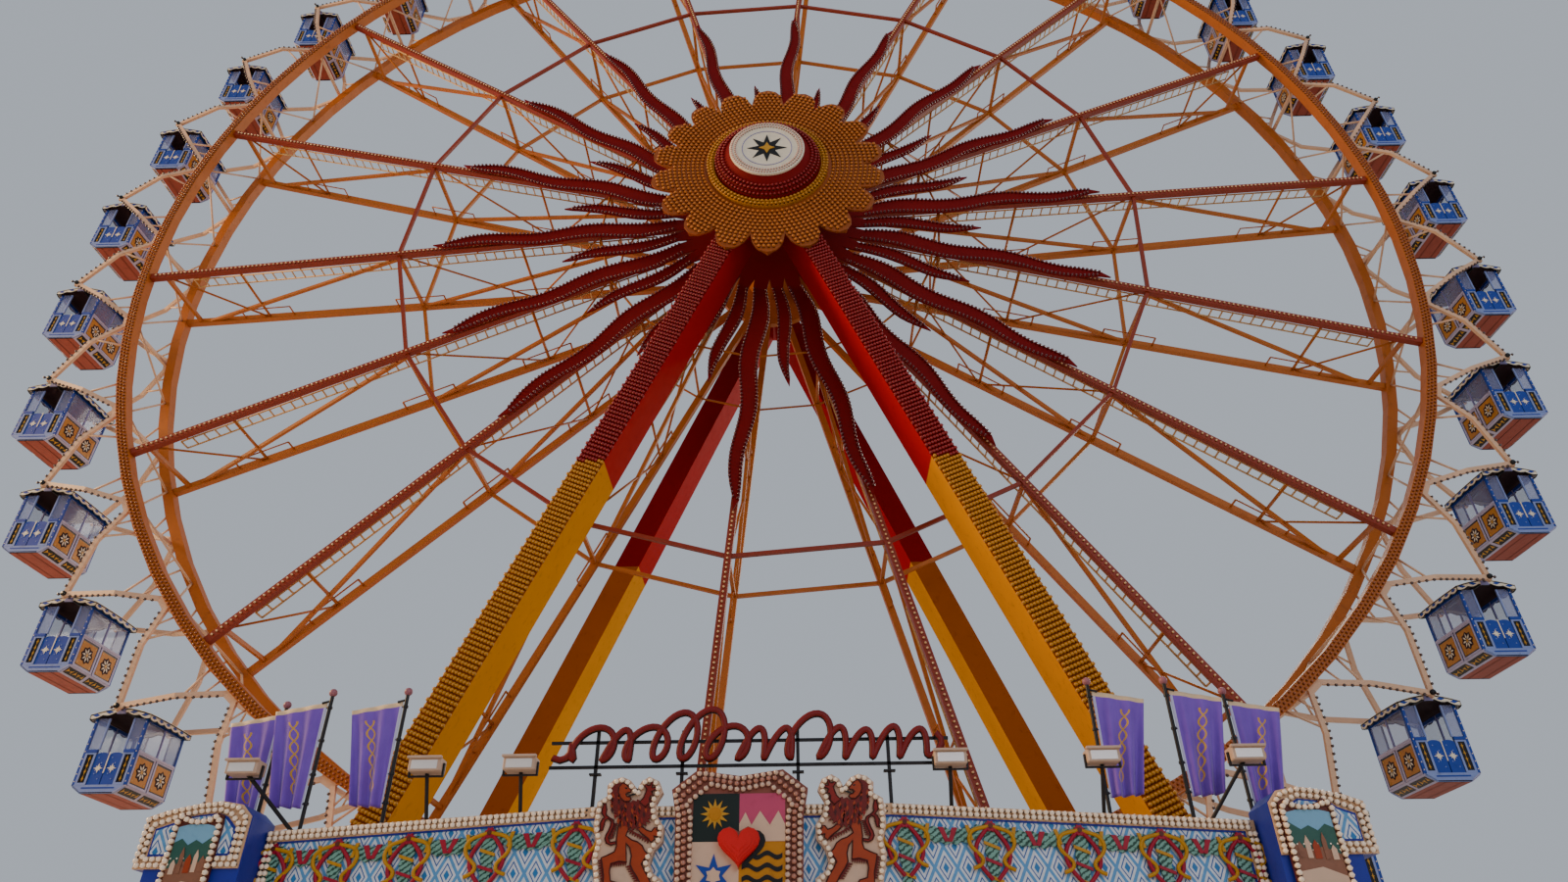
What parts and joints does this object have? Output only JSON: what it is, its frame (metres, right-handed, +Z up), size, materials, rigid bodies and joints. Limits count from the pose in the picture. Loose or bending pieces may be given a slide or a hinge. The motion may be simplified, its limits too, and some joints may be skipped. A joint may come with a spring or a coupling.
{
  "type": "scale model ferris wheel",
  "caption": "Half-size model of a fairground ferris wheel: a double rim on splayed legs with a sun hub, hanging cabins that stay level and a decorated entrance front.",
  "frame": {"origin": "on the ground under the hub, on the middle plane of the wheel", "axes": "+X to the viewer's right, +Y away from the viewer along the wheel axis, +Z up"},
  "size_m": [24.021, 6.425, 24.769],
  "materials": {
    "rim_paint": "amber gloss paint",
    "spoke_paint": "red-orange gloss paint",
    "arm_paint": "cream gloss paint",
    "flame_paint": "maroon gloss paint",
    "leg_paint": "red and yellow gloss paint",
    "sun_paint": "ochre paint under lamps",
    "boss_paint": "yellow, dark red and white gloss",
    "cabin_paint": "blue gloss with painted panels",
    "ground_paint": "brown paint",
    "front_paint": "blue and white gloss panels",
    "board_paint": "cream lamp-edged boards",
    "tower_paint": "dark blue gloss",
    "sign_paint": "red gloss",
    "flag_cloth": "purple cloth",
    "axle_paint": "red paint"
  },
  "bodies": {
    "support": {"axle_and_heads": "axle_paint", "front_leg_left": "leg_paint", "front_leg_right": "leg_paint", "rear_leg_left": "leg_paint", "rear_leg_right": "leg_paint", "sun_disc": "sun_paint", "sun_boss": "boss_paint", "ground_frame": "ground_paint", "fascia": "front_paint", "crest": "board_paint", "lion_board_left": "board_paint", "lion_board_right": "board_paint", "tower_left": "tower_paint", "tower_right": "tower_paint", "scroll_sign": "sign_paint", "flags_left": "flag_cloth", "flags_right": "flag_cloth"},
    "wheel": {"front_rim": "rim_paint", "rear_rim": "rim_paint", "front_spokes": "spoke_paint", "rear_spokes": "spoke_paint", "front_cabin_arms": "arm_paint", "rear_cabin_arms": "arm_paint", "flames": "flame_paint"},
    "cabin_01_body": {"cabin_01": "cabin_paint"},
    "cabin_02_body": {"cabin_02": "cabin_paint"},
    "cabin_03_body": {"cabin_03": "cabin_paint"},
    "cabin_04_body": {"cabin_04": "cabin_paint"},
    "cabin_05_body": {"cabin_05": "cabin_paint"},
    "cabin_06_body": {"cabin_06": "cabin_paint"},
    "cabin_07_body": {"cabin_07": "cabin_paint"},
    "cabin_08_body": {"cabin_08": "cabin_paint"},
    "cabin_09_body": {"cabin_09": "cabin_paint"},
    "cabin_10_body": {"cabin_10": "cabin_paint"},
    "cabin_11_body": {"cabin_11": "cabin_paint"},
    "cabin_12_body": {"cabin_12": "cabin_paint"},
    "cabin_13_body": {"cabin_13": "cabin_paint"},
    "cabin_14_body": {"cabin_14": "cabin_paint"},
    "cabin_15_body": {"cabin_15": "cabin_paint"},
    "cabin_16_body": {"cabin_16": "cabin_paint"},
    "cabin_17_body": {"cabin_17": "cabin_paint"},
    "cabin_18_body": {"cabin_18": "cabin_paint"},
    "cabin_19_body": {"cabin_19": "cabin_paint"},
    "cabin_20_body": {"cabin_20": "cabin_paint"},
    "cabin_21_body": {"cabin_21": "cabin_paint"},
    "cabin_22_body": {"cabin_22": "cabin_paint"},
    "cabin_23_body": {"cabin_23": "cabin_paint"},
    "cabin_24_body": {"cabin_24": "cabin_paint"},
    "cabin_25_body": {"cabin_25": "cabin_paint"},
    "cabin_26_body": {"cabin_26": "cabin_paint"},
    "cabin_27_body": {"cabin_27": "cabin_paint"},
    "cabin_28_body": {"cabin_28": "cabin_paint"},
    "cabin_29_body": {"cabin_29": "cabin_paint"},
    "cabin_30_body": {"cabin_30": "cabin_paint"},
    "cabin_31_body": {"cabin_31": "cabin_paint"},
    "cabin_32_body": {"cabin_32": "cabin_paint"},
    "cabin_33_body": {"cabin_33": "cabin_paint"},
    "cabin_34_body": {"cabin_34": "cabin_paint"},
    "cabin_35_body": {"cabin_35": "cabin_paint"},
    "cabin_36_body": {"cabin_36": "cabin_paint"}
  },
  "joints": [
    {"name": "wheel_spin", "type": "hinge", "parent": "support", "child": "wheel", "pos_m": [0, 0, 13.1], "axis": [0, -1, 0], "continuous": true},
    {"name": "cabin_01_swing", "type": "hinge", "parent": "wheel", "child": "cabin_01_body", "pos_m": [11.62046, 0, 14.05946], "axis": [0, -1, 0], "continuous": true},
    {"name": "cabin_02_swing", "type": "hinge", "parent": "wheel", "child": "cabin_02_body", "pos_m": [11.27731, 0, 16.06275], "axis": [0, -1, 0], "continuous": true},
    {"name": "cabin_03_swing", "type": "hinge", "parent": "wheel", "child": "cabin_03_body", "pos_m": [10.5915, 0, 17.97603], "axis": [0, -1, 0], "continuous": true},
    {"name": "cabin_04_swing", "type": "hinge", "parent": "wheel", "child": "cabin_04_body", "pos_m": [9.58388, 0, 19.74115], "axis": [0, -1, 0], "continuous": true},
    {"name": "cabin_05_swing", "type": "hinge", "parent": "wheel", "child": "cabin_05_body", "pos_m": [8.28506, 0, 21.30447], "axis": [0, -1, 0], "continuous": true},
    {"name": "cabin_06_swing", "type": "hinge", "parent": "wheel", "child": "cabin_06_body", "pos_m": [6.7345, 0, 22.61852], "axis": [0, -1, 0], "continuous": true},
    {"name": "cabin_07_swing", "type": "hinge", "parent": "wheel", "child": "cabin_07_body", "pos_m": [4.97931, 0, 23.64334], "axis": [0, -1, 0], "continuous": true},
    {"name": "cabin_08_swing", "type": "hinge", "parent": "wheel", "child": "cabin_08_body", "pos_m": [3.07283, 0, 24.34781], "axis": [0, -1, 0], "continuous": true},
    {"name": "cabin_09_swing", "type": "hinge", "parent": "wheel", "child": "cabin_09_body", "pos_m": [1.07299, 0, 24.71053], "axis": [0, -1, 0], "continuous": true},
    {"name": "cabin_10_swing", "type": "hinge", "parent": "wheel", "child": "cabin_10_body", "pos_m": [-0.95946, 0, 24.72046], "axis": [0, -1, 0], "continuous": true},
    {"name": "cabin_11_swing", "type": "hinge", "parent": "wheel", "child": "cabin_11_body", "pos_m": [-2.96275, 0, 24.37731], "axis": [0, -1, 0], "continuous": true},
    {"name": "cabin_12_swing", "type": "hinge", "parent": "wheel", "child": "cabin_12_body", "pos_m": [-4.87603, 0, 23.6915], "axis": [0, -1, 0], "continuous": true},
    {"name": "cabin_13_swing", "type": "hinge", "parent": "wheel", "child": "cabin_13_body", "pos_m": [-6.64115, 0, 22.68388], "axis": [0, -1, 0], "continuous": true},
    {"name": "cabin_14_swing", "type": "hinge", "parent": "wheel", "child": "cabin_14_body", "pos_m": [-8.20447, 0, 21.38506], "axis": [0, -1, 0], "continuous": true},
    {"name": "cabin_15_swing", "type": "hinge", "parent": "wheel", "child": "cabin_15_body", "pos_m": [-9.51852, 0, 19.8345], "axis": [0, -1, 0], "continuous": true},
    {"name": "cabin_16_swing", "type": "hinge", "parent": "wheel", "child": "cabin_16_body", "pos_m": [-10.54334, 0, 18.07931], "axis": [0, -1, 0], "continuous": true},
    {"name": "cabin_17_swing", "type": "hinge", "parent": "wheel", "child": "cabin_17_body", "pos_m": [-11.24781, 0, 16.17283], "axis": [0, -1, 0], "continuous": true},
    {"name": "cabin_18_swing", "type": "hinge", "parent": "wheel", "child": "cabin_18_body", "pos_m": [-11.61053, 0, 14.17299], "axis": [0, -1, 0], "continuous": true},
    {"name": "cabin_19_swing", "type": "hinge", "parent": "wheel", "child": "cabin_19_body", "pos_m": [-11.62046, 0, 12.14054], "axis": [0, -1, 0], "continuous": true},
    {"name": "cabin_20_swing", "type": "hinge", "parent": "wheel", "child": "cabin_20_body", "pos_m": [-11.27731, 0, 10.13725], "axis": [0, -1, 0], "continuous": true},
    {"name": "cabin_21_swing", "type": "hinge", "parent": "wheel", "child": "cabin_21_body", "pos_m": [-10.5915, 0, 8.22397], "axis": [0, -1, 0], "continuous": true},
    {"name": "cabin_22_swing", "type": "hinge", "parent": "wheel", "child": "cabin_22_body", "pos_m": [-9.58388, 0, 6.45885], "axis": [0, -1, 0], "continuous": true},
    {"name": "cabin_23_swing", "type": "hinge", "parent": "wheel", "child": "cabin_23_body", "pos_m": [-8.28506, 0, 4.89553], "axis": [0, -1, 0], "continuous": true},
    {"name": "cabin_24_swing", "type": "hinge", "parent": "wheel", "child": "cabin_24_body", "pos_m": [-6.7345, 0, 3.58148], "axis": [0, -1, 0], "continuous": true},
    {"name": "cabin_25_swing", "type": "hinge", "parent": "wheel", "child": "cabin_25_body", "pos_m": [-4.97931, 0, 2.55666], "axis": [0, -1, 0], "continuous": true},
    {"name": "cabin_26_swing", "type": "hinge", "parent": "wheel", "child": "cabin_26_body", "pos_m": [-3.07283, 0, 1.85219], "axis": [0, -1, 0], "continuous": true},
    {"name": "cabin_27_swing", "type": "hinge", "parent": "wheel", "child": "cabin_27_body", "pos_m": [-1.07299, 0, 1.48947], "axis": [0, -1, 0], "continuous": true},
    {"name": "cabin_28_swing", "type": "hinge", "parent": "wheel", "child": "cabin_28_body", "pos_m": [0.95946, 0, 1.47954], "axis": [0, -1, 0], "continuous": true},
    {"name": "cabin_29_swing", "type": "hinge", "parent": "wheel", "child": "cabin_29_body", "pos_m": [2.96275, 0, 1.82269], "axis": [0, -1, 0], "continuous": true},
    {"name": "cabin_30_swing", "type": "hinge", "parent": "wheel", "child": "cabin_30_body", "pos_m": [4.87603, 0, 2.5085], "axis": [0, -1, 0], "continuous": true},
    {"name": "cabin_31_swing", "type": "hinge", "parent": "wheel", "child": "cabin_31_body", "pos_m": [6.64115, 0, 3.51612], "axis": [0, -1, 0], "continuous": true},
    {"name": "cabin_32_swing", "type": "hinge", "parent": "wheel", "child": "cabin_32_body", "pos_m": [8.20447, 0, 4.81494], "axis": [0, -1, 0], "continuous": true},
    {"name": "cabin_33_swing", "type": "hinge", "parent": "wheel", "child": "cabin_33_body", "pos_m": [9.51852, 0, 6.3655], "axis": [0, -1, 0], "continuous": true},
    {"name": "cabin_34_swing", "type": "hinge", "parent": "wheel", "child": "cabin_34_body", "pos_m": [10.54334, 0, 8.12069], "axis": [0, -1, 0], "continuous": true},
    {"name": "cabin_35_swing", "type": "hinge", "parent": "wheel", "child": "cabin_35_body", "pos_m": [11.24781, 0, 10.02717], "axis": [0, -1, 0], "continuous": true},
    {"name": "cabin_36_swing", "type": "hinge", "parent": "wheel", "child": "cabin_36_body", "pos_m": [11.61053, 0, 12.02701], "axis": [0, -1, 0], "continuous": true}
  ],
  "couplings": [
    {"joint": "cabin_01_swing", "follows": "wheel_spin", "ratio": -1},
    {"joint": "cabin_02_swing", "follows": "wheel_spin", "ratio": -1},
    {"joint": "cabin_03_swing", "follows": "wheel_spin", "ratio": -1},
    {"joint": "cabin_04_swing", "follows": "wheel_spin", "ratio": -1},
    {"joint": "cabin_05_swing", "follows": "wheel_spin", "ratio": -1},
    {"joint": "cabin_06_swing", "follows": "wheel_spin", "ratio": -1},
    {"joint": "cabin_07_swing", "follows": "wheel_spin", "ratio": -1},
    {"joint": "cabin_08_swing", "follows": "wheel_spin", "ratio": -1},
    {"joint": "cabin_09_swing", "follows": "wheel_spin", "ratio": -1},
    {"joint": "cabin_10_swing", "follows": "wheel_spin", "ratio": -1},
    {"joint": "cabin_11_swing", "follows": "wheel_spin", "ratio": -1},
    {"joint": "cabin_12_swing", "follows": "wheel_spin", "ratio": -1},
    {"joint": "cabin_13_swing", "follows": "wheel_spin", "ratio": -1},
    {"joint": "cabin_14_swing", "follows": "wheel_spin", "ratio": -1},
    {"joint": "cabin_15_swing", "follows": "wheel_spin", "ratio": -1},
    {"joint": "cabin_16_swing", "follows": "wheel_spin", "ratio": -1},
    {"joint": "cabin_17_swing", "follows": "wheel_spin", "ratio": -1},
    {"joint": "cabin_18_swing", "follows": "wheel_spin", "ratio": -1},
    {"joint": "cabin_19_swing", "follows": "wheel_spin", "ratio": -1},
    {"joint": "cabin_20_swing", "follows": "wheel_spin", "ratio": -1},
    {"joint": "cabin_21_swing", "follows": "wheel_spin", "ratio": -1},
    {"joint": "cabin_22_swing", "follows": "wheel_spin", "ratio": -1},
    {"joint": "cabin_23_swing", "follows": "wheel_spin", "ratio": -1},
    {"joint": "cabin_24_swing", "follows": "wheel_spin", "ratio": -1},
    {"joint": "cabin_25_swing", "follows": "wheel_spin", "ratio": -1},
    {"joint": "cabin_26_swing", "follows": "wheel_spin", "ratio": -1},
    {"joint": "cabin_27_swing", "follows": "wheel_spin", "ratio": -1},
    {"joint": "cabin_28_swing", "follows": "wheel_spin", "ratio": -1},
    {"joint": "cabin_29_swing", "follows": "wheel_spin", "ratio": -1},
    {"joint": "cabin_30_swing", "follows": "wheel_spin", "ratio": -1},
    {"joint": "cabin_31_swing", "follows": "wheel_spin", "ratio": -1},
    {"joint": "cabin_32_swing", "follows": "wheel_spin", "ratio": -1},
    {"joint": "cabin_33_swing", "follows": "wheel_spin", "ratio": -1},
    {"joint": "cabin_34_swing", "follows": "wheel_spin", "ratio": -1},
    {"joint": "cabin_35_swing", "follows": "wheel_spin", "ratio": -1},
    {"joint": "cabin_36_swing", "follows": "wheel_spin", "ratio": -1}
  ]
}
